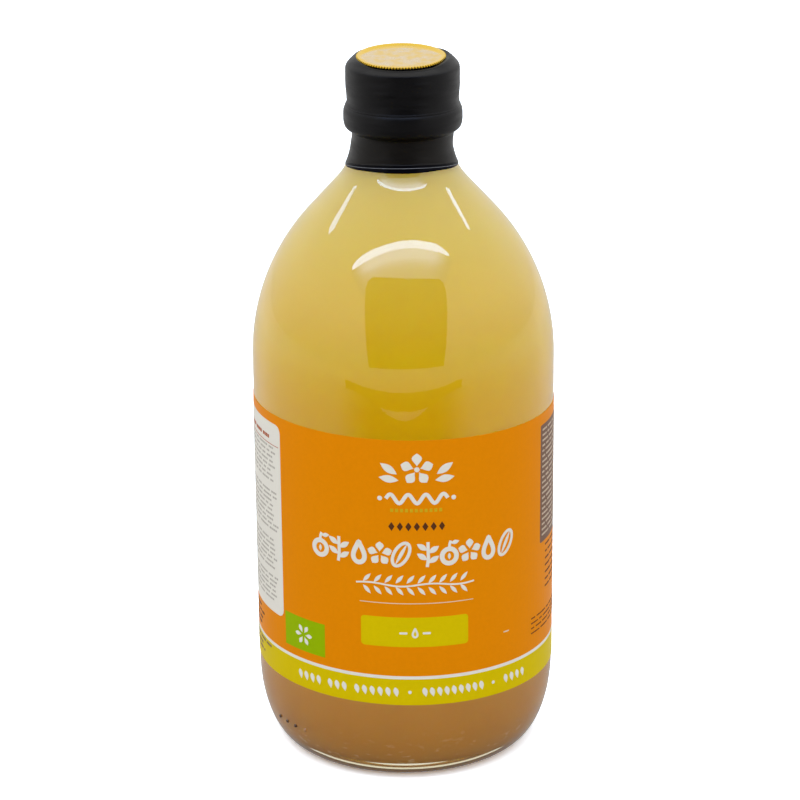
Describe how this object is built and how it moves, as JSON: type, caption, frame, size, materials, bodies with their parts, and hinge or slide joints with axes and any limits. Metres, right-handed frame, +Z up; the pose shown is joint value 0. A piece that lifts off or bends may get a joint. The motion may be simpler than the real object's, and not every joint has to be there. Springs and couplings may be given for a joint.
{
  "type": "vinegar bottle",
  "caption": "Round-shouldered clear glass bottle of cloudy cider vinegar with a wrap-around paper label and a shrunk black film capsule over its closure.",
  "frame": {"origin": "centre of the flat ring that the bottle stands on", "axes": "+Z up along the bottle's axis; the front of the label faces -Y, and +X is to its right"},
  "size_m": [0.0772, 0.0772, 0.1794],
  "materials": {
    "glass": "clear flint glass, polished",
    "vinegar": "cloudy yellow liquid",
    "sediment": "settled brown haze in the liquid",
    "label": "printed, lightly glossy paper",
    "closure": "moulded, satin",
    "capsule": "shrunk film, satin",
    "gold": "gold-coloured foil, crimped edge"
  },
  "bodies": {
    "root": {"glass_bottle": "glass", "vinegar": "vinegar", "sediment": "sediment", "paper_label": "label", "screw_cap": "closure", "shrink_capsule": "capsule", "gold_disc": "gold"}
  },
  "joints": []
}
